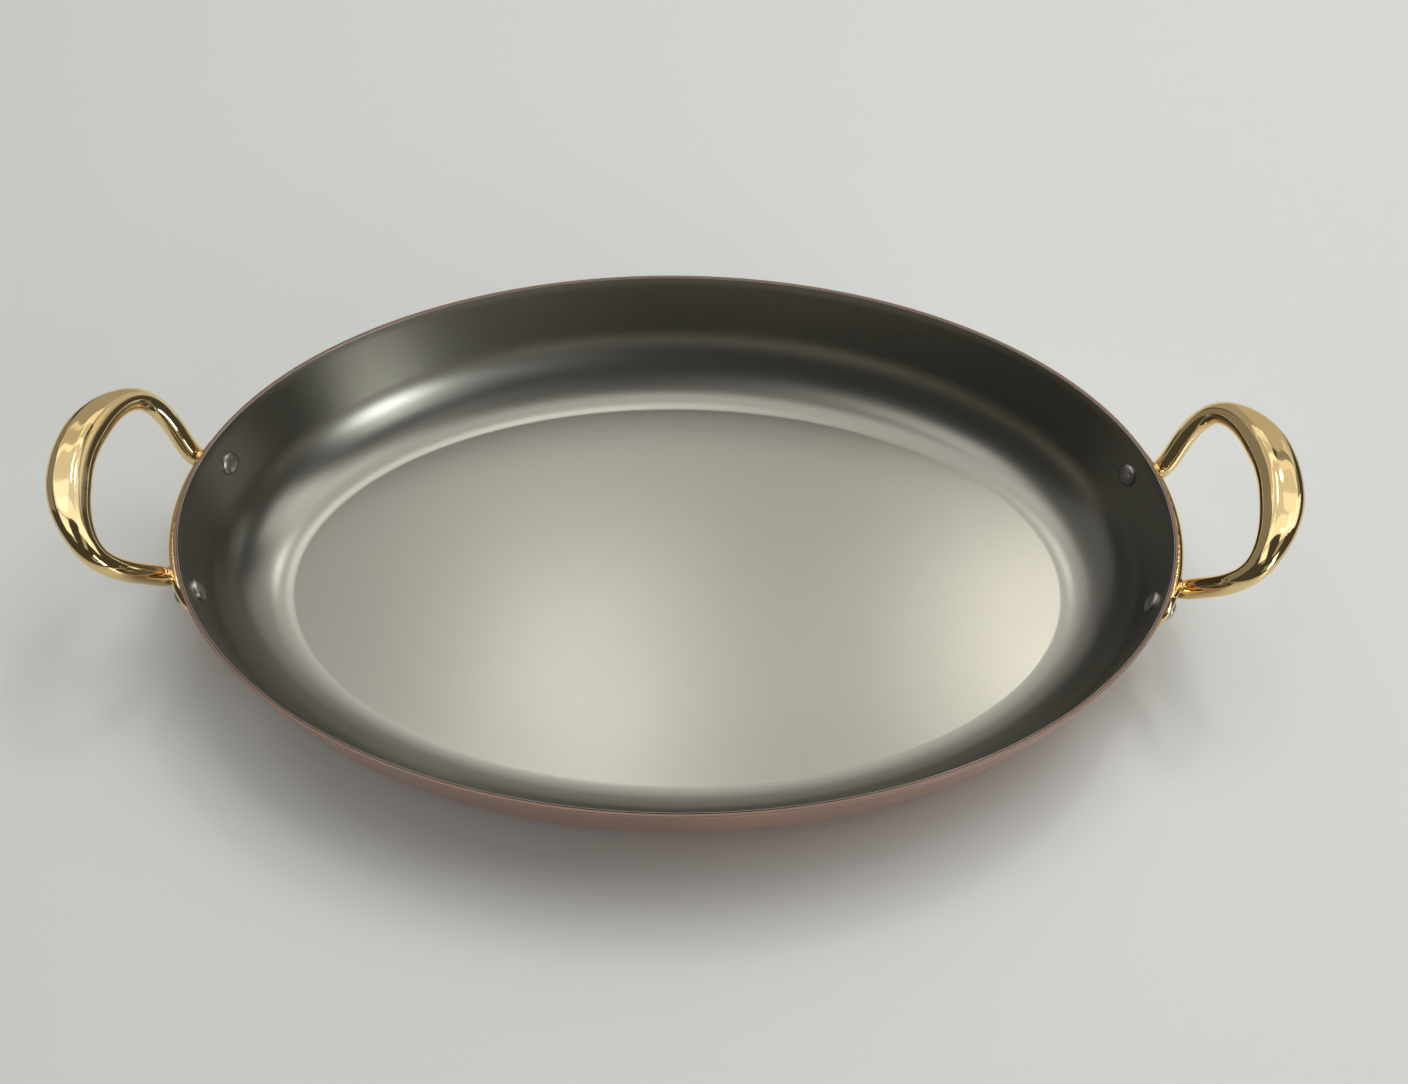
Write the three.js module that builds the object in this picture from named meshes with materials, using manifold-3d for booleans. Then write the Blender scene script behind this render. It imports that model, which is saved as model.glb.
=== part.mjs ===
// Oval gratin pan. A copper body holds a thin steel lining, and a cast brass loop handle is riveted
// to each end. Millimetres, +Z up, X along the pan. The origin is under the middle of the flat base.

import * as THREE from 'three';
import { mergeVertices } from 'three/addons/utils/BufferGeometryUtils.js';
import Module from 'manifold-3d';

const wasm = await Module();
wasm.setup();

// Pan body, measured outside
const rimLength = 350;
const rimWidth = 230;
const panHeight = 46.5;
const wallLean = THREE.MathUtils.degToRad(13);
const innerCornerRadius = 22.5;
const copperThickness = 1.1;
const liningThickness = 0.3;
const bondGap = 0.1;

// Rivets: two at each end, through lining, copper and handle plate
const rivetSpacing = 56.4;
const rivetDrop = 12.2;
const shankDiameter = 4.8;
const innerHeadDiameter = 8.4;
const innerHeadHeight = 1.9;
const innerHeadBand = 0.4;
const outerHeadDiameter = 7;
const outerHeadHeight = 1.7;
const outerHeadBand = 0.6;

// Handle plate, the curved flange that lies against the wall
const plateThickness = 3.3;
const plateEdge = 1.5;
const plateEdgeRound = 2.4;
const plateRoundShare = 0.33;
const plateDrop = 1.6;
const bridgeDepth = 10;
const bridgeBlend = 13;
const earRadius = 8.5;
const earLastTurn = THREE.MathUtils.degToRad(80);

// Handle loop: its buried root, then centreline points measured from the end of the rim, from the XZ
// plane and from the rim plane, then the sizes of its oval section
const rootSide = 23.5;
const rootDrop = 12;
const rootDiameter = 2.8;
const rootLength = 11;
const armFoot = { out: 1.9, side: 26.7, rise: -4.4 };
const armMiddle = { out: 7.8, side: 32.2, rise: 6.6 };
const shoulderPoint = { out: 14.9, side: 33.3, rise: 17.1 };
const bendPoint = { out: 21.3, side: 25.2, rise: 23.4 };
const gripQuarter = { out: 25.2, side: 14.6, rise: 26.1 };
const gripMiddle = { out: 27, side: 0, rise: 27.2 };
const armDiameter = 7.4;
const gripWidth = 14.5;
const gripThickness = 9.2;
const gripFullLength = 18;
const gripTaper = 37;
const gripTilt = THREE.MathUtils.degToRad(14);
const gripValley = 0.45;
const gripValleyShare = 0.62;

// Clearances between separate pieces
const plateGap = 0.3;
const headGap = 0.25;
const holeGap = 0.3;

// Facets
const rimSegments = 96;
const cornerSegments = 6;
const rivetSegments = 18;
const domeSegments = 4;
const holeSegments = 20;
const loopStations = 58;
const sectionSegments = 20;
const earColumns = 5;
const bridgeColumns = 12;
const edgeSteps = 3;
const mergeDistance = 1e-4;

// Worked out from the sizes above
const wallThickness = liningThickness + bondGap + copperThickness;
const rimHalfWidth = rimWidth / 2;
const rimHalfLength = rimLength / 2;
const ovalStretch = rimHalfLength - rimHalfWidth;
const cornerTop = wallThickness + innerCornerRadius * (1 - Math.sin(wallLean));
const floorHalfWidth = rimHalfWidth
  - wallThickness / Math.cos(wallLean)
  - (panHeight - cornerTop) * Math.tan(wallLean)
  - innerCornerRadius * Math.cos(wallLean);
const rivetSide = rivetSpacing / 2;
const rivetHeight = panHeight - rivetDrop;
const plateTop = panHeight - plateDrop;
const plateFace = plateGap + plateThickness;
const fullTurn = 2 * Math.PI;

// A round radius becomes an oval one: the same extra length is added outside the floor, and a share
// of it inside
function ovalPoint(radius, angle, height) {
  const stretch = ovalStretch * Math.min(1, radius / floorHalfWidth);
  return new THREE.Vector3((radius + stretch) * Math.cos(angle), radius * Math.sin(angle), height);
}

// Outer wall of the copper, in its straight part: radius at a height
function wallRadius(height) {
  return rimHalfWidth - (panHeight - height) * Math.tan(wallLean);
}

// Point and outward normal on the outer wall of the +X end, given the distance from the XZ plane
function wallFrame(side, height) {
  const radius = wallRadius(height);
  const angle = Math.asin(side / radius);
  const around = new THREE.Vector3(-(radius + ovalStretch) * Math.sin(angle), radius * Math.cos(angle), 0);
  const upwards = new THREE.Vector3(Math.cos(angle), Math.sin(angle), 1 / Math.tan(wallLean));
  const normal = around.cross(upwards).normalize();
  return { point: ovalPoint(radius, angle, height), normal };
}

function wallPoint(side, height, proud) {
  const { point, normal } = wallFrame(side, height);
  return point.addScaledVector(normal, proud);
}

// Point on the handle's centreline from its three measures
function loopPoint(measures, sideSign) {
  return new THREE.Vector3(
    rimHalfLength + measures.out,
    sideSign * measures.side,
    panHeight + measures.rise
  );
}

// Indexed geometry with shared corners and without flat triangles
function closeGeometry(geometry) {
  const bare = new THREE.BufferGeometry();
  bare.setAttribute('position', geometry.getAttribute('position'));
  bare.setIndex(geometry.getIndex());
  const merged = mergeVertices(bare, mergeDistance);
  const index = merged.getIndex().array;
  const kept = [];
  for (let i = 0; i < index.length; i += 3) {
    const [a, b, c] = [index[i], index[i + 1], index[i + 2]];
    if (a !== b && b !== c && c !== a) {
      kept.push(a, b, c);
    }
  }
  merged.setIndex(kept);
  return merged;
}

function toSolid(geometry) {
  const closed = closeGeometry(geometry);
  const vertProperties = new Float32Array(closed.getAttribute('position').array);
  const triVerts = new Uint32Array(closed.getIndex().array);
  return new wasm.Manifold(new wasm.Mesh({ numProp: 3, vertProperties, triVerts }));
}

function toGeometry(solid) {
  const mesh = solid.getMesh();
  const geometry = new THREE.BufferGeometry();
  geometry.setAttribute('position', new THREE.BufferAttribute(new Float32Array(mesh.vertProperties), 3));
  geometry.setIndex(new THREE.BufferAttribute(new Uint32Array(mesh.triVerts), 1));
  return geometry;
}

// Closed body through a row of rings with the same number of points, with a fan on each end ring
function ringBody(rings) {
  const count = rings[0].length;
  const positions = rings.flat().flatMap((point) => point.toArray());
  const indices = [];
  for (let row = 0; row + 1 < rings.length; row += 1) {
    for (let i = 0; i < count; i += 1) {
      const a = row * count + i;
      const b = row * count + ((i + 1) % count);
      indices.push(a, b, b + count);
      indices.push(a, b + count, a + count);
    }
  }
  const lastRow = (rings.length - 1) * count;
  for (const [start, flip] of [[0, true], [lastRow, false]]) {
    const centre = new THREE.Vector3();
    for (let i = 0; i < count; i += 1) {
      centre.add(new THREE.Vector3().fromArray(positions, 3 * (start + i)));
    }
    const centreIndex = positions.length / 3;
    positions.push(...centre.divideScalar(count).toArray());
    for (let i = 0; i < count; i += 1) {
      const a = start + i;
      const b = start + ((i + 1) % count);
      indices.push(centreIndex, flip ? b : a, flip ? a : b);
    }
  }
  const geometry = new THREE.BufferGeometry();
  geometry.setAttribute('position', new THREE.Float32BufferAttribute(positions, 3));
  geometry.setIndex(indices);
  return geometry;
}

// Half section of a surface that lies the given depth outside the cooking surface
function wallSection(depth) {
  const radius = innerCornerRadius + depth;
  const centreHeight = wallThickness + innerCornerRadius;
  const points = [new THREE.Vector2(0, wallThickness - depth)];
  for (let i = 0; i <= cornerSegments; i += 1) {
    const turn = (Math.PI / 2 - wallLean) * i / cornerSegments;
    const flare = floorHalfWidth + radius * Math.sin(turn);
    points.push(new THREE.Vector2(flare, centreHeight - radius * Math.cos(turn)));
  }
  const rimRadius = rimHalfWidth - (wallThickness - depth) / Math.cos(wallLean);
  points.push(new THREE.Vector2(rimRadius, panHeight));
  return points;
}

// Oval skin between two depths, open at the rim like a dish
function ovalSkin(innerDepth, outerDepth) {
  const section = [...wallSection(outerDepth), ...wallSection(innerDepth).reverse()];
  const geometry = new THREE.LatheGeometry(section, rimSegments);
  const position = geometry.getAttribute('position');
  for (let i = 0; i < position.count; i += 1) {
    const radius = Math.hypot(position.getX(i), position.getZ(i));
    const angle = Math.atan2(-position.getZ(i), position.getX(i));
    const point = ovalPoint(radius, angle, position.getY(i));
    position.setXYZ(i, point.x, point.y, point.z);
  }
  return geometry;
}

// Places a geometry made along +Y so that +Y points outwards through the wall at a rivet
function placeAtRivet(geometry, end, sideSign) {
  const { point, normal } = wallFrame(sideSign * rivetSide, rivetHeight);
  point.x *= end;
  normal.x *= end;
  const turn = new THREE.Quaternion().setFromUnitVectors(new THREE.Vector3(0, 1, 0), normal);
  return geometry.applyQuaternion(turn).translate(point.x, point.y, point.z);
}

function rivetHole(end, sideSign) {
  const radius = shankDiameter / 2 + holeGap;
  const length = 2 * (wallThickness + plateFace + outerHeadHeight);
  return placeAtRivet(new THREE.CylinderGeometry(radius, radius, length, holeSegments), end, sideSign);
}

// Flat seat for the outer rivet head, which also clears the root of the arm
function headSeat(end, sideSign) {
  const radius = outerHeadDiameter / 2 + headGap;
  const depth = outerHeadHeight + headGap;
  const cutter = new THREE.CylinderGeometry(radius, radius, 2 * depth, holeSegments);
  return placeAtRivet(cutter.translate(0, plateFace + depth, 0), end, sideSign);
}

const rivetPlaces = [-1, 1].flatMap((end) => [-1, 1].map((sideSign) => ({ end, sideSign })));

function drilledSkin(innerDepth, outerDepth) {
  let solid = toSolid(ovalSkin(innerDepth, outerDepth));
  for (const { end, sideSign } of rivetPlaces) {
    solid = solid.subtract(toSolid(rivetHole(end, sideSign)));
  }
  return toGeometry(solid);
}

// Domed cap as half-section points, from its rim to the axis
function capPoints(radius, band, height, seat, direction) {
  const points = [new THREE.Vector2(radius, seat)];
  for (let i = 0; i <= domeSegments; i += 1) {
    const turn = (Math.PI / 2) * i / domeSegments;
    const x = i === domeSegments ? 0 : radius * Math.cos(turn);
    points.push(new THREE.Vector2(x, seat + direction * (band + (height - band) * Math.sin(turn))));
  }
  return points;
}

function rivetBody() {
  const shankRadius = shankDiameter / 2;
  const innerSeat = -(wallThickness + headGap);
  const outerSeat = plateFace + headGap;
  const inner = capPoints(innerHeadDiameter / 2, innerHeadBand, innerHeadHeight, innerSeat, -1);
  const outer = capPoints(outerHeadDiameter / 2, outerHeadBand, outerHeadHeight, outerSeat, 1);
  const section = [
    ...inner.reverse(),
    new THREE.Vector2(shankRadius, innerSeat),
    new THREE.Vector2(shankRadius, outerSeat),
    ...outer
  ];
  return new THREE.LatheGeometry(section, rivetSegments);
}

// Top and bottom of the handle plate at a distance from the XZ plane
function plateOutline(side) {
  const reach = Math.abs(side);
  const earBottom = rivetHeight - earRadius;
  if (reach > rivetSide) {
    const middle = (plateTop + earBottom) / 2;
    const share = Math.min(1, (reach - rivetSide) / earRadius);
    const half = (plateTop - middle) * Math.sqrt(1 - share * share);
    return { bottom: middle - half, top: middle + half };
  }
  const blend = THREE.MathUtils.smoothstep(reach, rivetSide - bridgeBlend, rivetSide);
  return { bottom: THREE.MathUtils.lerp(plateTop - bridgeDepth, earBottom, blend), top: plateTop };
}

// Distances from the XZ plane at which the plate has a ring
function plateSides() {
  const sides = [];
  for (let i = earColumns; i >= 1; i -= 1) {
    sides.push(-(rivetSide + earRadius * Math.sin(earLastTurn * i / earColumns)));
  }
  for (let i = 0; i <= bridgeColumns; i += 1) {
    sides.push(rivetSide * (2 * i / bridgeColumns - 1));
  }
  return [...sides, ...sides.slice(0, earColumns).reverse().map((side) => -side)];
}

// One ring of the plate: straight against the wall, with rounded edges outside
function plateRing(side) {
  const { bottom, top } = plateOutline(side);
  const round = Math.min(plateEdgeRound, plateRoundShare * (top - bottom));
  const fromEnd = Math.min(1, (rivetSide + earRadius - Math.abs(side)) / plateEdgeRound);
  const swell = Math.sqrt(1 - (1 - fromEnd) ** 2);
  const crown = (plateThickness - plateEdge) * swell;
  const points = [wallPoint(side, bottom, plateGap), wallPoint(side, top, plateGap)];
  for (let i = 0; i <= edgeSteps; i += 1) {
    const turn = (Math.PI / 2) * i / edgeSteps;
    const proud = plateGap + plateEdge + crown * Math.sin(turn);
    points.push(wallPoint(side, top - round * (1 - Math.cos(turn)), proud));
  }
  for (let i = edgeSteps; i >= 0; i -= 1) {
    const turn = (Math.PI / 2) * i / edgeSteps;
    const proud = plateGap + plateEdge + crown * Math.sin(turn);
    points.push(wallPoint(side, bottom + round * (1 - Math.cos(turn)), proud));
  }
  return points;
}

function handlePlate() {
  return ringBody(plateSides().map(plateRing));
}

// Centreline of the loop, from inside the plate at one root to inside it at the other
function loopCurve() {
  const half = (sign) => [
    wallPoint(sign * rootSide, panHeight - rootDrop, plateGap + plateThickness / 2),
    ...[armFoot, armMiddle, shoulderPoint, bendPoint, gripQuarter].map((place) => loopPoint(place, sign))
  ];
  return new THREE.CatmullRomCurve3([...half(-1), loopPoint(gripMiddle, 1), ...half(1).reverse()]);
}

// Oval section of the loop at a share of its length, with a shallow valley along the grip's face
function loopRing(curve, share) {
  const length = curve.getLength();
  const centre = curve.getPointAt(share);
  const along = curve.getTangentAt(share);
  const fromRoot = Math.min(share, 1 - share) * length;
  const fromMiddle = length / 2 - fromRoot;
  const swell = 1 - THREE.MathUtils.smoothstep(fromMiddle, gripFullLength / 2, gripFullLength / 2 + gripTaper);
  const growth = THREE.MathUtils.smoothstep(fromRoot, 0, rootLength);
  const armWidth = THREE.MathUtils.lerp(rootDiameter, armDiameter, growth);
  const halfWidth = THREE.MathUtils.lerp(armWidth, gripWidth, swell) / 2;
  const halfThickness = THREE.MathUtils.lerp(armWidth, gripThickness, swell) / 2;
  const faceNormal = new THREE.Vector3(-Math.sin(gripTilt), 0, Math.cos(gripTilt));
  const across = new THREE.Vector3().crossVectors(faceNormal, along).normalize();
  const upwards = new THREE.Vector3().crossVectors(along, across);
  const points = [];
  for (let i = 0; i < sectionSegments; i += 1) {
    const turn = fullTurn * i / sectionSegments;
    const valleyPlace = Math.min(1, Math.abs(Math.cos(turn)) / gripValleyShare);
    const dip = Math.sin(turn) > 0 ? gripValley * swell * (1 + Math.cos(Math.PI * valleyPlace)) / 2 : 0;
    const point = centre.clone().addScaledVector(across, halfWidth * Math.cos(turn));
    points.push(point.addScaledVector(upwards, halfThickness * Math.sin(turn) - dip));
  }
  return points;
}

function handleLoop() {
  const curve = loopCurve();
  const rings = [];
  for (let i = 0; i <= loopStations; i += 1) {
    rings.push(loopRing(curve, i / loopStations));
  }
  return ringBody(rings);
}

// Handle casting of the +X end, turned half round for the other end
function handleCasting(end) {
  let solid = toSolid(handlePlate()).add(toSolid(handleLoop()));
  for (const sideSign of [-1, 1]) {
    solid = solid.subtract(toSolid(headSeat(1, sideSign)));
    solid = solid.subtract(toSolid(rivetHole(1, sideSign)));
  }
  const geometry = toGeometry(solid);
  return end > 0 ? geometry : geometry.rotateZ(Math.PI);
}

function copperMaterial() {
  return new THREE.MeshStandardMaterial({ color: 0xc07a5a, roughness: 0.25, metalness: 1 });
}

function liningMaterial() {
  return new THREE.MeshStandardMaterial({ color: 0xb5b3a9, roughness: 0.42, metalness: 1 });
}

function brassMaterial() {
  return new THREE.MeshStandardMaterial({ color: 0xd8a95a, roughness: 0.12, metalness: 1 });
}

function rivetMaterial() {
  return new THREE.MeshStandardMaterial({ color: 0x9a9890, roughness: 0.35, metalness: 1 });
}

function namedMesh(name, geometry, material) {
  const mesh = new THREE.Mesh(closeGeometry(geometry), material);
  mesh.name = name;
  return mesh;
}

const group = new THREE.Group();
group.add(namedMesh('copper_shell', drilledSkin(liningThickness + bondGap, wallThickness), copperMaterial()));
group.add(namedMesh('steel_lining', drilledSkin(0, liningThickness), liningMaterial()));
group.add(namedMesh('left_handle', handleCasting(-1), brassMaterial()));
group.add(namedMesh('right_handle', handleCasting(1), brassMaterial()));
for (const { end, sideSign } of rivetPlaces) {
  const name = `${end < 0 ? 'left' : 'right'}_${sideSign < 0 ? 'front' : 'back'}_rivet`;
  group.add(namedMesh(name, placeAtRivet(rivetBody(), end, sideSign), rivetMaterial()));
}

export default group;
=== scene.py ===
import math

import bmesh
import bpy
import numpy as np
from mathutils import Matrix, Vector


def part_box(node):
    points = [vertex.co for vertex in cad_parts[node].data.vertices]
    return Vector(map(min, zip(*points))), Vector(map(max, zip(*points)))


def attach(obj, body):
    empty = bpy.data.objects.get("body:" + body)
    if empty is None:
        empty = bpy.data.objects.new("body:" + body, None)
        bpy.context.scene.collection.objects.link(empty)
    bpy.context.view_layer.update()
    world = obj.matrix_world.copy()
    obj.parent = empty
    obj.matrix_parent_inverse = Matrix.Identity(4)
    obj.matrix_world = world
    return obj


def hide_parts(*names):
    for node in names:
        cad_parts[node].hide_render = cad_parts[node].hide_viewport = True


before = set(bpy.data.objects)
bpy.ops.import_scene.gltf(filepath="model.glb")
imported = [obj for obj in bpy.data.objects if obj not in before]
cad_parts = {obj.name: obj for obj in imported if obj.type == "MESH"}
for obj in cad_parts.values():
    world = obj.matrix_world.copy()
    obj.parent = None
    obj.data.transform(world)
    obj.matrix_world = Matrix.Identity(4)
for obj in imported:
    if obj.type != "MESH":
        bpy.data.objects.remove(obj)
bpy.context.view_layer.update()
mm = 0.001

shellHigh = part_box("copper_shell")[1]
print("frame loaded:", len(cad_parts), "nodes")


# Camera, at the photograph's place. The picture is taken as 1408 by 1084.
camera = {
    "place": (8.92 * mm, -295.55 * mm, 458.73 * mm),
    "turn": (34.443, -0.481, 0.560),  # degrees
    "lens": 36.965,
    "sensor": 36,
    "sees": (0.01, 20),  # metres, from the nearest to the farthest
}


def addCamera():
    turns = [math.radians(a) for a in camera["turn"]]
    bpy.ops.object.camera_add(location=camera["place"], rotation=turns)
    view = bpy.context.active_object
    view.name = "view"
    view.data.lens = camera["lens"]
    view.data.sensor_width = camera["sensor"]
    view.data.clip_start, view.data.clip_end = camera["sees"]
    bpy.context.scene.camera = view


# Shader help: a socket that can be used in sums, and one method for every other node
class Wire:
    def __init__(self, tree, output=None):
        self.tree = tree
        self.output = output

    def node(self, kind, settings, inputs, out=0):
        made = self.tree.nodes.new(kind)
        for name, value in settings.items():
            setattr(made, name, value)
        for key, value in inputs.items():
            self.plug(made.inputs[key], value)
        return Wire(self.tree, made.outputs[out])

    def plug(self, target, value):
        if isinstance(value, Wire):
            self.tree.links.new(value.output, target)
        elif isinstance(value, tuple) and len(value) == 3 and target.type == "RGBA":
            target.default_value = (*value, 1)
        else:
            target.default_value = value

    def maths(self, operation, *values):
        return self.node("ShaderNodeMath", {"operation": operation}, dict(enumerate(values)))

    def __add__(self, other):
        return self.maths("ADD", self, other)

    def __radd__(self, other):
        return self.maths("ADD", other, self)

    def __sub__(self, other):
        return self.maths("SUBTRACT", self, other)

    def __rsub__(self, other):
        return self.maths("SUBTRACT", other, self)

    def __mul__(self, other):
        return self.maths("MULTIPLY", self, other)

    def __rmul__(self, other):
        return self.maths("MULTIPLY", other, self)


def newFinish(name, constants):
    finish = bpy.data.materials.new(name)
    finish.use_nodes = True
    shader = finish.node_tree.nodes["Principled BSDF"]
    wire = Wire(finish.node_tree)
    for key, value in constants.items():
        wire.plug(shader.inputs[key], value)
    return finish, wire, shader


# Modelling help
def clearSelection():
    if bpy.context.object and bpy.context.object.mode != "OBJECT":
        bpy.ops.object.mode_set(mode="OBJECT")
    bpy.ops.object.select_all(action="DESELECT")


def drawRings(name, steps, stations, place):
    # A disc of points is extruded from station to station. place gives a point from its turn round
    # the ring, so the first and the last ring are closed by the disc itself.
    clearSelection()
    bpy.ops.mesh.primitive_circle_add(vertices=steps, radius=1, fill_type="NGON", location=(0, 0, 0))
    piece = bpy.context.active_object
    piece.name = name
    piece.data.name = name
    bpy.ops.object.mode_set(mode="EDIT")
    for number, station in enumerate(stations):
        if number:
            bpy.ops.mesh.extrude_region_move()
        mesh = bmesh.from_edit_mesh(piece.data)
        turn = mesh.verts.layers.float.get("turn") or mesh.verts.layers.float.new("turn")
        for point in [p for p in mesh.verts if p.select]:
            if not number:
                point[turn] = math.atan2(point.co.y, point.co.x)
            point.co = place(point[turn], station)
        bmesh.update_edit_mesh(piece.data)
    bpy.ops.mesh.select_all(action="SELECT")
    bpy.ops.mesh.normals_make_consistent(inside=False)
    bpy.ops.object.mode_set(mode="OBJECT")
    return piece


def applyAll(piece):
    clearSelection()
    bpy.context.view_layer.objects.active = piece
    piece.select_set(True)
    for modifier in list(piece.modifiers):
        bpy.ops.object.modifier_apply(modifier=modifier.name)


def smoothShade(piece, sharpAngle=35):
    clearSelection()
    bpy.context.view_layer.objects.active = piece
    piece.select_set(True)
    bpy.ops.object.shade_smooth_by_angle(angle=math.radians(sharpAngle))


def dress(piece, node, finish):
    piece.data.materials.clear()
    piece.data.materials.append(finish)
    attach(piece, "root")
    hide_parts(node)


# The pan's oval and its section. A round radius becomes an oval one by the same extra length.
pan = {
    "wallLean": math.radians(13),
    # The corner's arcs from the floor up, each with its radius, the slope at its end and its steps.
    # The first is short and tight and shows as a faint edge, and the others are the round.
    "corner": (
        (8 * mm, math.radians(4), 4),
        (24 * mm, math.radians(30), 10),
        (29.5 * mm, math.radians(77), 16),
    ),
    "copperThickness": 1.1 * mm,
    "liningThickness": 0.3 * mm,
    "bondGap": 0.1 * mm,
    "rimRound": 0.22 * mm,
    "rimRoundShare": 0.45,  # the most of a skin's width that one round may take
    "rimSteps": 3,
    "around": 256,
    "wallSteps": 6,
    "centreRadius": 6 * mm,
    "floorRings": 7,
    "aspect": 1.52,  # the rim's length to its width, for the hairlines in the metal
}
wallThickness = pan["copperThickness"] + pan["bondGap"] + pan["liningThickness"]
rimHeight = shellHigh.z
rimHalfWidth = shellHigh.y
ovalStretch = shellHigh.x - shellHigh.y


def cornerPath(depth):
    # Steps outwards and upwards from the floor's edge, at a depth behind the cooking surface
    across, up, start = 0, 0, 0
    path = [(0, 0)]
    for radius, end, steps in pan["corner"]:
        for i in range(1, steps + 1):
            turn = start + (end - start) * i / steps
            ahead = across + (radius + depth) * (math.sin(turn) - math.sin(start))
            above = up + (radius + depth) * (math.cos(start) - math.cos(turn))
            path.append((ahead, above))
        across, up, start = ahead, above, end
    return path


cornerWidth, cornerHeight = cornerPath(0)[-1]
floorHalfWidth = (
    rimHalfWidth
    - wallThickness / math.cos(pan["wallLean"])
    - (rimHeight - wallThickness - cornerHeight) * math.tan(pan["wallLean"])
    - cornerWidth
)


def ovalPoint(turn, ring):
    radius, height = ring
    stretch = ovalStretch * min(1, radius / floorHalfWidth)
    return Vector(((radius + stretch) * math.cos(turn), radius * math.sin(turn), height))


def floorRings(depth):
    # Rings over the flat middle, from near its centre to the start of the corner
    centre, count = pan["centreRadius"], pan["floorRings"]
    shares = [i / count for i in range(count)]
    return [(centre + (floorHalfWidth - centre) * s, wallThickness - depth) for s in shares]


def wallRings(depth):
    # Rings round the corner and up the wall to the rim, at a depth behind the cooking surface
    rings = [(floorHalfWidth + across, wallThickness - depth + up) for across, up in cornerPath(depth)]
    topRadius = rimHalfWidth - (wallThickness - depth) / math.cos(pan["wallLean"])
    foot = rings[-1]
    for i in range(1, pan["wallSteps"] + 1):
        share = i / pan["wallSteps"]
        rings.append((foot[0] + (topRadius - foot[0]) * share, foot[1] + (rimHeight - foot[1]) * share))
    return rings


def rimRings(outer, inner):
    # Small rounds where the rim's flat cut meets the two sides of a skin
    outerTop, innerTop = outer[-1][0], inner[-1][0]
    size = min(pan["rimRound"], pan["rimRoundShare"] * (outerTop - innerTop))
    slope = math.tan(pan["wallLean"])
    steps = pan["rimSteps"]

    def roundRing(top, inwards, share):
        # share goes from 0, where the round leaves the side, to 1 on the flat cut
        turn = math.pi / 2 * share
        drop = size * (1 - math.sin(turn))
        return top - inwards * size * (1 - math.cos(turn)) - slope * drop, rimHeight - drop

    outerRound = [roundRing(outerTop, 1, i / steps) for i in range(steps + 1)]
    innerRound = [roundRing(innerTop, -1, 1 - i / steps) for i in range(steps + 1)]
    return outerRound + innerRound


def modelSkin(name, innerDepth, outerDepth):
    # From the middle of the underside out and up, over the rim and back to the middle inside
    outer = wallRings(outerDepth)
    inner = wallRings(innerDepth)
    stations = floorRings(outerDepth) + outer[:-1] + rimRings(outer, inner)
    stations += inner[-2::-1] + floorRings(innerDepth)[::-1]
    piece = drawRings(name, pan["around"], stations, ovalPoint)
    smoothShade(piece)
    return piece


# Rivets: a domed head inside, a shank and a domed head outside, square to the wall. A head has its
# diameter, its height and the height of the straight band under its dome.
rivet = {
    "spacing": 56.4 * mm,
    "drop": 12.2 * mm,
    "shank": 4.8 * mm,
    "innerHead": (8.4 * mm, 1.9 * mm, 0.4 * mm),
    "outerHead": (7.4 * mm, 3.2 * mm, 1.4 * mm),
    "around": 48,
    "domeSteps": 10,
    "domeTurn": 0.96 * math.pi / 2,  # just short of a quarter turn, so that a small disc closes it
}


def wallFrame(side, height):
    # Point on the outer wall of the +X end, and the outward normal there
    radius = rimHalfWidth - (rimHeight - height) * math.tan(pan["wallLean"])
    turn = math.asin(side / radius)
    along = Vector((-(radius + ovalStretch) * math.sin(turn), radius * math.cos(turn), 0))
    upwards = Vector((math.cos(turn), math.sin(turn), 1 / math.tan(pan["wallLean"])))
    return ovalPoint(turn, (radius, height)), along.cross(upwards).normalized()


def wallPoint(side, height, proud):
    point, normal = wallFrame(side, height)
    return point + normal * proud


def domeRings(head, seat, direction):
    diameter, height, band = head
    rings = [(diameter / 2, seat)]
    for i in range(rivet["domeSteps"] + 1):
        turn = rivet["domeTurn"] * i / rivet["domeSteps"]
        rise = band + (height - band) * math.sin(turn)
        rings.append((diameter / 2 * math.cos(turn), seat + direction * rise))
    return rings


def modelRivet(name, end, sideSign):
    innerSeat = -wallThickness
    outerSeat = plate["gap"] + plate["thickness"]
    innerDome = domeRings(rivet["innerHead"], innerSeat, -1)[::-1]
    shank = [(rivet["shank"] / 2, innerSeat), (rivet["shank"] / 2, outerSeat)]
    outerDome = domeRings(rivet["outerHead"], outerSeat, 1)
    point, normal = wallFrame(sideSign * rivet["spacing"] / 2, rimHeight - rivet["drop"])
    flip = Vector((end, 1, 1))
    place = Matrix.Translation(point * flip) @ (normal * flip).to_track_quat("Z", "Y").to_matrix().to_4x4()

    def ringPoint(turn, ring):
        return place @ Vector((ring[0] * math.cos(turn), ring[0] * math.sin(turn), ring[1]))

    piece = drawRings(name, rivet["around"], innerDome + shank + outerDome, ringPoint)
    smoothShade(piece)
    return piece


# Handle plate: two ears round the rivets and a bridge between them, laid against the wall
plate = {
    "gap": 0.3 * mm,
    "thickness": 3.3 * mm,
    "edge": 1.5 * mm,
    "edgeRound": 2.4 * mm,
    "drop": 1.6 * mm,
    "bridgeDepth": 10 * mm,
    "bridgeBlend": 13 * mm,
    "earRadius": 8.5 * mm,
    "columns": 96,
    "rows": 24,
    "mergeWithin": 0.01 * mm,
}


def smoothStep(low, high, value):
    share = min(1, max(0, (value - low) / (high - low)))
    return share * share * (3 - 2 * share)


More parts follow.
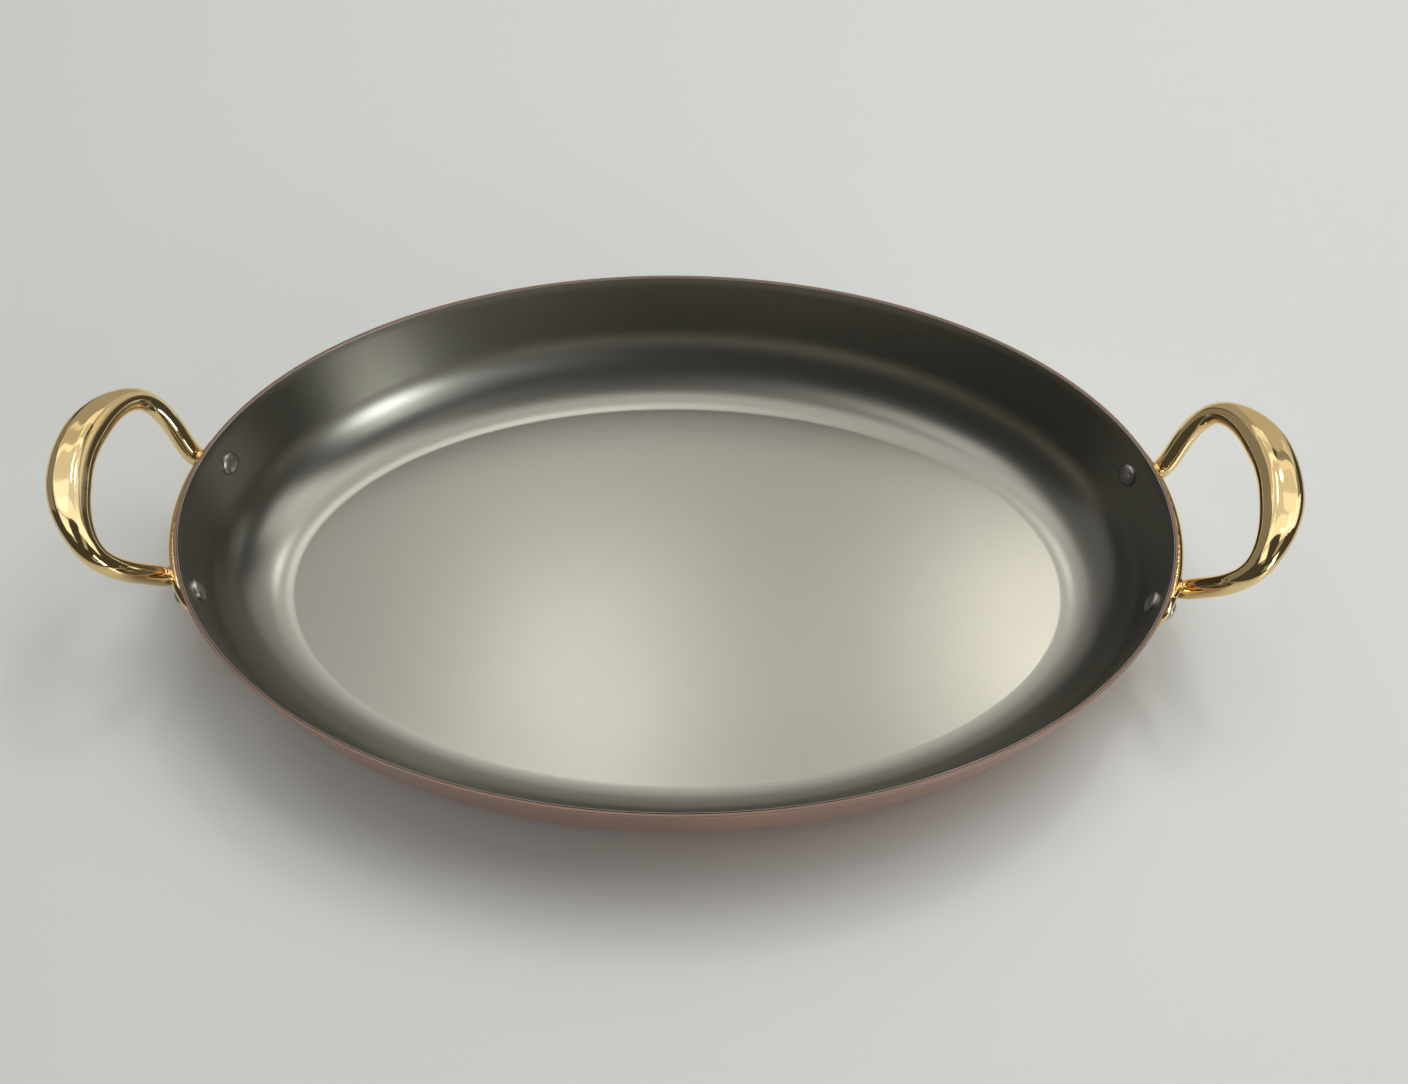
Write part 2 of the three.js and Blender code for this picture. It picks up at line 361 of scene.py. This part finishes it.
def plateOutline(side):
    reach = abs(side)
    rivetSide = rivet["spacing"] / 2
    top = rimHeight - plate["drop"]
    earBottom = rimHeight - rivet["drop"] - plate["earRadius"]
    if reach > rivetSide:
        middle = (top + earBottom) / 2
        share = min(1, (reach - rivetSide) / plate["earRadius"])
        half = (top - middle) * math.sqrt(1 - share * share)
        return middle - half, middle + half
    blend = smoothStep(rivetSide - plate["bridgeBlend"], rivetSide, reach)
    return top - plate["bridgeDepth"] * (1 - blend) - (top - earBottom) * blend, top


def modelPlate():
    clearSelection()
    columns, rows = plate["columns"], plate["rows"]
    bpy.ops.mesh.primitive_grid_add(x_subdivisions=columns, y_subdivisions=rows, size=2, location=(0, 0, 0))
    piece = bpy.context.active_object
    bpy.ops.object.mode_set(mode="EDIT")
    mesh = bmesh.from_edit_mesh(piece.data)
    across = mesh.verts.layers.float.new("across")
    up = mesh.verts.layers.float.new("up")
    for point in mesh.verts:
        point[across], point[up] = point.co.x, point.co.y
    halfLength = rivet["spacing"] / 2 + plate["earRadius"]

    def lay(points, isOuter):
        for point in points:
            side = halfLength * math.sin(point[across] * math.pi / 2)
            bottom, top = plateOutline(side)
            height = bottom + (top - bottom) * (point[up] + 1) / 2
            fromEdge = min(top - height, height - bottom, halfLength - abs(side)) / plate["edgeRound"]
            swell = math.sqrt(1 - (1 - min(1, max(0, fromEdge))) ** 2)
            thickness = plate["edge"] + (plate["thickness"] - plate["edge"]) * swell
            point.co = wallPoint(side, height, plate["gap"] + thickness * isOuter)

    lay(mesh.verts, 0)
    bmesh.update_edit_mesh(piece.data)
    bpy.ops.mesh.select_all(action="SELECT")
    bpy.ops.mesh.extrude_region_move()
    mesh = bmesh.from_edit_mesh(piece.data)
    across = mesh.verts.layers.float["across"]
    up = mesh.verts.layers.float["up"]
    lay([p for p in mesh.verts if p.select], 1)
    bmesh.update_edit_mesh(piece.data)
    bpy.ops.mesh.select_all(action="SELECT")
    bpy.ops.mesh.remove_doubles(threshold=plate["mergeWithin"])
    bpy.ops.mesh.normals_make_consistent(inside=False)
    bpy.ops.object.mode_set(mode="OBJECT")
    return piece


# Handle loop: its centreline's points from one root to the middle of the grip, given in mm as the
# reach beyond the rim's end, the distance from the middle and the rise over the rim
loop = {
    "root": (23.5 * mm, 12 * mm),
    "points": (
        (1.9, 26.7, -4.4),
        (7.8, 32.2, 6.6),
        (14.9, 33.3, 17.1),
        (21.3, 25.2, 23.4),
        (25.2, 14.6, 26.1),
        (26.9, 0, 27.2),
    ),
    "rootDiameter": 2.8 * mm,
    "rootLength": 11 * mm,
    "arm": 7.4 * mm,
    "gripWidth": 14.5 * mm,
    "gripThickness": 9.2 * mm,
    "fullLength": 18 * mm,  # of the part of the grip that has its full width
    "taper": 37 * mm,
    "tilt": math.radians(14),
    "valley": 0.5 * mm,
    "valleyPlace": -0.28,  # across the grip, from -1 to 1
    "valleyShare": 0.6,  # of the grip's half width, to each side of that place
    "stations": 150,
    "pathSteps": 1200,
    "around": 48,
    "voxel": 0.4 * mm,
    "soften": (0.5, 8),  # factor and rounds of smoothing, which make the root fillets
    "sharpAngle": 60,
}


def smoothPath(points, count):
    # Even steps along a cubic spline through the points
    points = np.array(points)
    knots = np.concatenate([[0], np.cumsum(np.linalg.norm(np.diff(points, axis=0), axis=1))])
    gaps = np.diff(knots)
    size = len(points)
    matrix = np.eye(size)
    right = np.zeros_like(points)
    for i in range(1, size - 1):
        matrix[i, i - 1:i + 2] = gaps[i - 1], 2 * (gaps[i - 1] + gaps[i]), gaps[i]
        right[i] = 6 * ((points[i + 1] - points[i]) / gaps[i] - (points[i] - points[i - 1]) / gaps[i - 1])
    bends = np.linalg.solve(matrix, right)

    def at(place):
        i = min(size - 2, int(np.searchsorted(knots, place, side="right")) - 1)
        a = (knots[i + 1] - place) / gaps[i]
        b = 1 - a
        curve = ((a ** 3 - a) * bends[i] + (b ** 3 - b) * bends[i + 1]) * gaps[i] ** 2 / 6
        return a * points[i] + b * points[i + 1] + curve

    fine = np.array([at(t) for t in np.linspace(0, knots[-1], loop["pathSteps"])])
    walked = np.concatenate([[0], np.cumsum(np.linalg.norm(np.diff(fine, axis=0), axis=1))])
    even = np.linspace(0, walked[-1], count)
    return np.stack([np.interp(even, walked, fine[:, axis]) for axis in range(3)], axis=1), walked[-1]


def modelLoop():
    rootSide, rootDrop = loop["root"]
    half = [wallPoint(-rootSide, rimHeight - rootDrop, plate["gap"] + plate["thickness"] / 2)]
    for out, side, rise in loop["points"]:
        half.append(Vector((shellHigh.x + out * mm, -side * mm, rimHeight + rise * mm)))
    otherHalf = [p * Vector((1, -1, 1)) for p in half[-2::-1]]
    path, length = smoothPath([list(p) for p in half + otherHalf], loop["stations"])
    tangents = np.gradient(path, axis=0)
    faceNormal = Vector((-math.sin(loop["tilt"]), 0, math.cos(loop["tilt"])))
    stations = []
    for i in range(loop["stations"]):
        along = Vector(tangents[i]).normalized()
        across = faceNormal.cross(along).normalized()
        fromRoot = min(i, loop["stations"] - 1 - i) / (loop["stations"] - 1) * length
        fromMiddle = length / 2 - fromRoot
        swell = 1 - smoothStep(loop["fullLength"] / 2, loop["fullLength"] / 2 + loop["taper"], fromMiddle)
        growth = smoothStep(0, loop["rootLength"], fromRoot)
        arm = loop["rootDiameter"] + (loop["arm"] - loop["rootDiameter"]) * growth
        width = arm + (loop["gripWidth"] - arm) * swell
        thickness = arm + (loop["gripThickness"] - arm) * swell
        stations.append((Vector(path[i]), across, along.cross(across), width / 2, thickness / 2, swell))

    def sectionPoint(turn, station):
        centre, across, upwards, halfWidth, halfThickness, swell = station
        fromValley = min(1, abs(math.cos(turn) - loop["valleyPlace"]) / loop["valleyShare"])
        dip = loop["valley"] * swell * (1 + math.cos(math.pi * fromValley)) / 2 if math.sin(turn) > 0 else 0
        return centre + across * halfWidth * math.cos(turn) + upwards * (halfThickness * math.sin(turn) - dip)

    return drawRings("loop", loop["around"], stations, sectionPoint)


def modelHandle():
    # Plate and loop become one mesh, as they are one casting
    handle = modelPlate()
    loopTube = modelLoop()
    clearSelection()
    bpy.context.view_layer.objects.active = handle
    join = handle.modifiers.new("join", "BOOLEAN")
    join.operation = "UNION"
    join.object = loopTube
    join.solver = "EXACT"
    applyAll(handle)
    remesh = handle.modifiers.new("remesh", "REMESH")
    remesh.mode = "VOXEL"
    remesh.voxel_size = loop["voxel"]
    soften = handle.modifiers.new("soften", "SMOOTH")
    soften.factor, soften.iterations = loop["soften"]
    applyAll(handle)
    bpy.data.objects.remove(loopTube)
    handle.name = "rightHandle"
    handle.data.name = "rightHandle"
    smoothShade(handle, loop["sharpAngle"])
    return handle


def turnedCopy(piece, name):
    clearSelection()
    bpy.context.view_layer.objects.active = piece
    piece.select_set(True)
    bpy.ops.object.duplicate()
    copy = bpy.context.active_object
    copy.name = name
    copy.data.name = name
    copy.rotation_euler = (0, 0, math.pi)
    bpy.ops.object.transform_apply(location=True, rotation=True, scale=True)
    return copy


# Finishes. Patterns lie on Object coordinates, so scales are waves a metre and depths are metres.
# A noise has its scale and then its detail. A spread is the part of a pattern's values that is used.
def objectPlace(wire):
    return wire.node("ShaderNodeTexCoord", {}, {}, "Object")


def noise(wire, place, scale, detail):
    return wire.node("ShaderNodeTexNoise", {}, {"Vector": place, "Scale": scale, "Detail": detail})


def vectorMaths(wire, operation, inputs, out=0):
    return wire.node("ShaderNodeVectorMath", {"operation": operation}, inputs, out)


def stretchedNoise(wire, place, scales, detail):
    return noise(wire, vectorMaths(wire, "MULTIPLY", {0: place, 1: scales}), 1, detail)


def blendColours(wire, share, one, other):
    return wire.node("ShaderNodeMix", {"data_type": "RGBA"}, {0: share, 6: one, 7: other}, 2)


def remap(wire, value, low, high, newLow=0, newHigh=1):
    spans = {"Value": value, "From Min": low, "From Max": high, "To Min": newLow, "To Max": newHigh}
    return wire.node("ShaderNodeMapRange", {}, spans)


def bump(wire, height, depth, under=None):
    inputs = {"Height": height, "Distance": depth, "Strength": 1.0}
    if under:
        inputs["Normal"] = under
    return wire.node("ShaderNodeBump", {}, inputs)


def ringLines(wire, place, along, across, detail):
    # Hairlines that run round the oval: slow along a ring of the pan, quick across it
    flat = vectorMaths(wire, "MULTIPLY", {0: place, 1: (1 / pan["aspect"], 1, 0)})
    radius = vectorMaths(wire, "LENGTH", {0: flat}, "Value")
    height = wire.node("ShaderNodeSeparateXYZ", {}, {0: place}, "Z")
    heading = vectorMaths(wire, "NORMALIZE", {0: flat})
    heading = vectorMaths(wire, "SCALE", {0: heading, "Scale": along})
    lift = wire.node("ShaderNodeCombineXYZ", {}, {2: (height + radius) * across})
    return noise(wire, vectorMaths(wire, "ADD", {0: heading, 1: lift}), 1, detail)


liningLook = {
    "steel": (0.375, 0.366, 0.326),
    "shade": (0.363, 0.356, 0.320),
    "roughness": (0.275, 0.297),
    "cloud": (12, 3),
    "cloudSpread": (0.25, 0.75),
    "wave": (26, 0),
    "waveShare": 0.3,
    "waveDepth": 0.02 * mm,
}


def liningFinish():
    finish, wire, shader = newFinish("satinSteel", {"Metallic": 1.0})
    place = objectPlace(wire)
    cloud = noise(wire, place, *liningLook["cloud"])
    wave = noise(wire, place, *liningLook["wave"])
    tone = remap(wire, cloud, *liningLook["cloudSpread"])
    wire.plug(shader.inputs["Base Color"], blendColours(wire, tone, liningLook["shade"], liningLook["steel"]))
    mottle = cloud * (1 - liningLook["waveShare"]) + wave * liningLook["waveShare"]
    rough = remap(wire, mottle, *liningLook["cloudSpread"], *liningLook["roughness"])
    wire.plug(shader.inputs["Roughness"], rough)
    wire.plug(shader.inputs["Normal"], bump(wire, wave, liningLook["waveDepth"]))
    return finish


copperLook = {
    "copper": (0.71, 0.44, 0.33),
    "deepCopper": (0.61, 0.36, 0.265),
    # painted shade: the rim's flat cut gets a darker brown, standing in for the dark room that it mirrors
    "cutFaceShade": (0.28, 0.185, 0.145),
    "cutHeight": 0.2 * mm,
    "roughness": (0.17, 0.27),
    "cutRoughness": 0.42,
    "cloud": (24, 4),
    "cloudSpread": (0.3, 0.7),
    "hairs": (6, 1100, 3),  # scales along and across, and detail
    "hairTone": 0.6,
    "hairRoughness": 0.8,
    "hairDepth": 0.003 * mm,
}


def copperFinish():
    finish, wire, shader = newFinish("copper", {"Metallic": 1.0})
    place = objectPlace(wire)
    cloud = noise(wire, place, *copperLook["cloud"])
    hairs = ringLines(wire, place, *copperLook["hairs"])
    spread = copperLook["cloudSpread"]
    tone = remap(wire, cloud + (hairs - 0.5) * copperLook["hairTone"], *spread)
    body = blendColours(wire, tone, copperLook["deepCopper"], copperLook["copper"])
    height = wire.node("ShaderNodeSeparateXYZ", {}, {0: place}, "Z")
    cut = remap(wire, height, rimHeight - copperLook["cutHeight"], rimHeight - copperLook["cutHeight"] / 2)
    # Painted shade: the rim's flat cut is painted a darker brown for the dark room that it mirrors, and it is
    # also made rougher
    wire.plug(shader.inputs["Base Color"], blendColours(wire, cut, body, copperLook["cutFaceShade"]))
    streaks = cloud + (hairs - 0.5) * copperLook["hairRoughness"]
    rough = remap(wire, streaks, *spread, *copperLook["roughness"])
    wire.plug(shader.inputs["Roughness"], rough + cut * (copperLook["cutRoughness"] - rough))
    wire.plug(shader.inputs["Normal"], bump(wire, hairs, copperLook["hairDepth"]))
    return finish


brassLook = {
    "brass": (0.95, 0.70, 0.33),
    "paleBrass": (0.97, 0.76, 0.42),
    "tarnish": (0.45, 0.27, 0.10),
    "roughness": (0.035, 0.09),
    "cloud": (45, 3),
    "toneSpread": (0.35, 0.65),
    "roughSpread": (0.3, 0.7),
    "wave": (55, 1),
    "waveDepth": 0.10 * mm,
    "ripple": ((230, 36, 230), 1),
    "rippleDepth": 0.05 * mm,
    "scratch": ((500, 90, 500), 3),
    "scratchShare": 0.8,
    "pitScale": 150,
    "pitSize": 0.045,
    "pitCore": 0.4,  # of its size
    "pitChance": (0.90, 0.91),  # only the cells over these values have a pit
    "pitRoughness": 0.3,
    "pitDepth": 0.05 * mm,
}


def brassFinish():
    finish, wire, shader = newFinish("polishedBrass", {"Metallic": 1.0})
    place = objectPlace(wire)
    cloud = noise(wire, place, *brassLook["cloud"])
    wave = noise(wire, place, *brassLook["wave"])
    ripple = stretchedNoise(wire, place, *brassLook["ripple"])
    scratch = stretchedNoise(wire, place, *brassLook["scratch"])
    cells = {"Vector": place, "Scale": brassLook["pitScale"]}
    cellPlace = wire.node("ShaderNodeTexVoronoi", {}, cells, "Distance")
    cellColour = wire.node("ShaderNodeTexVoronoi", {}, cells, "Color")
    chance = wire.node("ShaderNodeSeparateColor", {}, {0: cellColour}, 0)
    dot = remap(wire, cellPlace, brassLook["pitSize"], brassLook["pitSize"] * brassLook["pitCore"])
    pit = dot * remap(wire, chance, *brassLook["pitChance"])
    tone = remap(wire, cloud, *brassLook["toneSpread"])
    colour = blendColours(wire, tone, brassLook["brass"], brassLook["paleBrass"])
    wire.plug(shader.inputs["Base Color"], blendColours(wire, pit, colour, brassLook["tarnish"]))
    streaks = cloud + (scratch - 0.5) * brassLook["scratchShare"]
    rough = remap(wire, streaks, *brassLook["roughSpread"], *brassLook["roughness"])
    wire.plug(shader.inputs["Roughness"], rough + pit * brassLook["pitRoughness"])
    relief = bump(wire, wave, brassLook["waveDepth"])
    relief = bump(wire, ripple, brassLook["rippleDepth"], relief)
    wire.plug(shader.inputs["Normal"], bump(wire, 1 - pit, brassLook["pitDepth"], relief))
    return finish


rivetLook = {
    "steel": (0.66, 0.65, 0.61),
    "shade": (0.44, 0.43, 0.40),
    "roughness": (0.24, 0.40),
    "facetScale": 330,
    "facetDepth": 0.12 * mm,
    "facetSpread": (0.1, 0.7),
    "facetSmooth": 0.5,
    "grain": (1400, 2),
    "grainShare": 0.5,
    "grainDepth": 0.004 * mm,
}


def rivetFinish():
    finish, wire, shader = newFinish("rivetSteel", {"Metallic": 1.0})
    place = objectPlace(wire)
    blows = {"Vector": place, "Scale": rivetLook["facetScale"], "Smoothness": rivetLook["facetSmooth"]}
    facet = wire.node("ShaderNodeTexVoronoi", {"feature": "SMOOTH_F1"}, blows, "Distance")
    grain = noise(wire, place, *rivetLook["grain"])
    tone = remap(wire, facet + (grain - 0.5) * rivetLook["grainShare"], *rivetLook["facetSpread"])
    wire.plug(shader.inputs["Base Color"], blendColours(wire, tone, rivetLook["steel"], rivetLook["shade"]))
    wire.plug(shader.inputs["Roughness"], remap(wire, tone, 0, 1, *rivetLook["roughness"]))
    relief = bump(wire, facet, rivetLook["facetDepth"])
    wire.plug(shader.inputs["Normal"], bump(wire, grain, rivetLook["grainDepth"], relief))
    return finish


# Stage: a pale table in a dim room, under soft lamps. Each lamp has its azimuth and elevation as
# the pan sees it, its distance, its size in metres and its brightness, where 1 is white. A lamp
# that isn't mirrored lights dull surfaces only.
stage = {
    "table": (0.80, 0.825, 0.815),
    "tableRoughness": 0.35,
    "tableSize": 8,
    "tableDrop": 0.05 * mm,
    "room": (0.057, 0.056, 0.053),
}
ceilingLamps = {  # these face straight down
    "ceiling": {"aim": (90, 69.5, 3.2), "size": (4.4, 2.36), "glow": 0.66, "colour": (1.0, 0.99, 0.95)},
    "ceilingEdge": {"aim": (90, 84.5, 3.0), "size": (2.6, 0.7), "glow": 0.38, "colour": (1.0, 0.99, 0.94)},
    "backCeiling": {"aim": (91, 46, 4.2), "size": (1.9, 1.5), "glow": 0.6, "colour": (1.0, 0.99, 0.95)},
    "ceilingLeft": {"aim": (152, 65, 3.25), "size": (1.1, 1.0), "glow": 0.45, "colour": (1.0, 0.98, 0.94)},
    "ceilingRight": {"aim": (27, 62, 3.3), "size": (1.1, 1.1), "glow": 0.35, "colour": (1.0, 0.98, 0.94)},
    "frontLeft": {"aim": (209, 64, 3.38), "size": (1.3, 1.2), "glow": 1.1, "colour": (1.0, 0.99, 0.96)},
    "frontRight": {"aim": (354, 61, 3.48), "size": (2.4, 0.65), "glow": 1.0, "colour": (1.0, 0.99, 0.96)},
    "nearLeft": {"aim": (234, 63, 3.35), "size": (0.7, 1.4), "glow": 0.35, "colour": (1.0, 0.99, 0.96)},
    "nearRight": {"aim": (309, 63, 3.35), "size": (0.7, 1.4), "glow": 0.35, "colour": (1.0, 0.99, 0.96)},
    "leftPanel": {"aim": (101, 62, 3.2), "size": (0.3, 0.6), "glow": 5.5, "colour": (1.0, 0.99, 0.96)},
    "rightPanel": {"aim": (61, 56, 3.33), "size": (0.22, 0.22), "glow": 29, "colour": (1.0, 0.96, 0.88)},
}
sideLamps = {  # these face the pan
    "rightHigh": {"aim": (42, 44, 3.2), "size": (1.6, 1.0), "glow": 0.21, "colour": (1.0, 0.98, 0.94)},
    "rightWall": {"aim": (8, 43, 3.0), "size": (1.3, 1.4), "glow": 1.1, "colour": (1.0, 0.98, 0.94)},
    "backLeft": {"aim": (121, 45, 3.3), "size": (1.3, 0.6), "glow": 0.45, "colour": (1.0, 0.98, 0.93)},
    "backWall": {"aim": (84, 23, 3.2), "size": (4.8, 2.9), "glow": 0.3, "colour": (1.0, 0.98, 0.93)},
    "backRight": {"aim": (60, 22, 3.1), "size": (2.2, 2.6), "glow": 0.14, "colour": (1.0, 0.98, 0.93)},
    "leftWall": {"aim": (156, 24, 3.2), "size": (3.0, 2.6), "glow": 0.16, "colour": (1.0, 0.99, 0.96)},
    "window": {"aim": (312, 16, 2.6), "size": (0.6, 0.75), "glow": 6.8, "colour": (0.97, 0.99, 1.0)},
    "overWindow": {"aim": (313, 34, 2.8), "size": (0.55, 0.7), "glow": 2.4, "colour": (0.97, 0.99, 1.0)},
    "besideWindow": {"aim": (291, 24, 2.8), "size": (0.6, 1.0), "glow": 0.3, "colour": (0.97, 0.99, 1.0)},
    "fill": {"aim": (48, 64, 1.6), "size": (1.0, 0.8), "glow": 2.4, "colour": (1, 1, 1), "mirrored": False},
}


def addStage():
    clearSelection()
    bpy.ops.mesh.primitive_plane_add(size=stage["tableSize"], location=(0, 0, -stage["tableDrop"]))
    table = bpy.context.active_object
    table.name = "table"
    look = {"Base Color": stage["table"], "Roughness": stage["tableRoughness"]}
    table.data.materials.append(newFinish("table", look)[0])
    room = bpy.data.worlds.new("room")
    bpy.context.scene.world = room
    room.use_nodes = True
    room.node_tree.nodes["Background"].inputs["Color"].default_value = (*stage["room"], 1)
    for name, lamp in (ceilingLamps | sideLamps).items():
        *turns, distance = lamp["aim"]
        azimuth, elevation = [math.radians(a) for a in turns]
        flat = math.cos(elevation)
        heading = Vector((flat * math.cos(azimuth), flat * math.sin(azimuth), math.sin(elevation)))
        place = heading * distance
        bpy.ops.object.light_add(type="AREA", location=place)
        light = bpy.context.active_object
        light.name = name
        light.data.shape = "RECTANGLE"
        light.data.size, light.data.size_y = lamp["size"]
        light.data.energy = lamp["glow"] * math.pi * lamp["size"][0] * lamp["size"][1]
        light.data.color = lamp["colour"]
        light.visible_camera = False
        light.visible_glossy = lamp.get("mirrored", True)
        if name in sideLamps:
            light.rotation_euler = (-place).to_track_quat("-Z", "Y").to_euler()


addCamera()
addStage()
print("stage set")

steel, copper, brass, rivetSteel = liningFinish(), copperFinish(), brassFinish(), rivetFinish()
copperShell = modelSkin("copperShell", pan["liningThickness"] + pan["bondGap"], wallThickness)
dress(copperShell, "copper_shell", copper)
steelLining = modelSkin("steelLining", 0, pan["liningThickness"])
dress(steelLining, "steel_lining", steel)
print("bowl made")
rightHandle = modelHandle()
leftHandle = turnedCopy(rightHandle, "leftHandle")
dress(rightHandle, "right_handle", brass)
dress(leftHandle, "left_handle", brass)
print("handles made:", len(rightHandle.data.polygons), "faces each")
for end, endName in ((-1, "left"), (1, "right")):
    for sideSign, sideName in ((-1, "front"), (1, "back")):
        head = modelRivet(endName + sideName.capitalize() + "Rivet", end, sideSign)
        dress(head, f"{endName}_{sideName}_rivet", rivetSteel)
print("rivets made")

bpy.context.scene.view_settings.view_transform = "Standard"
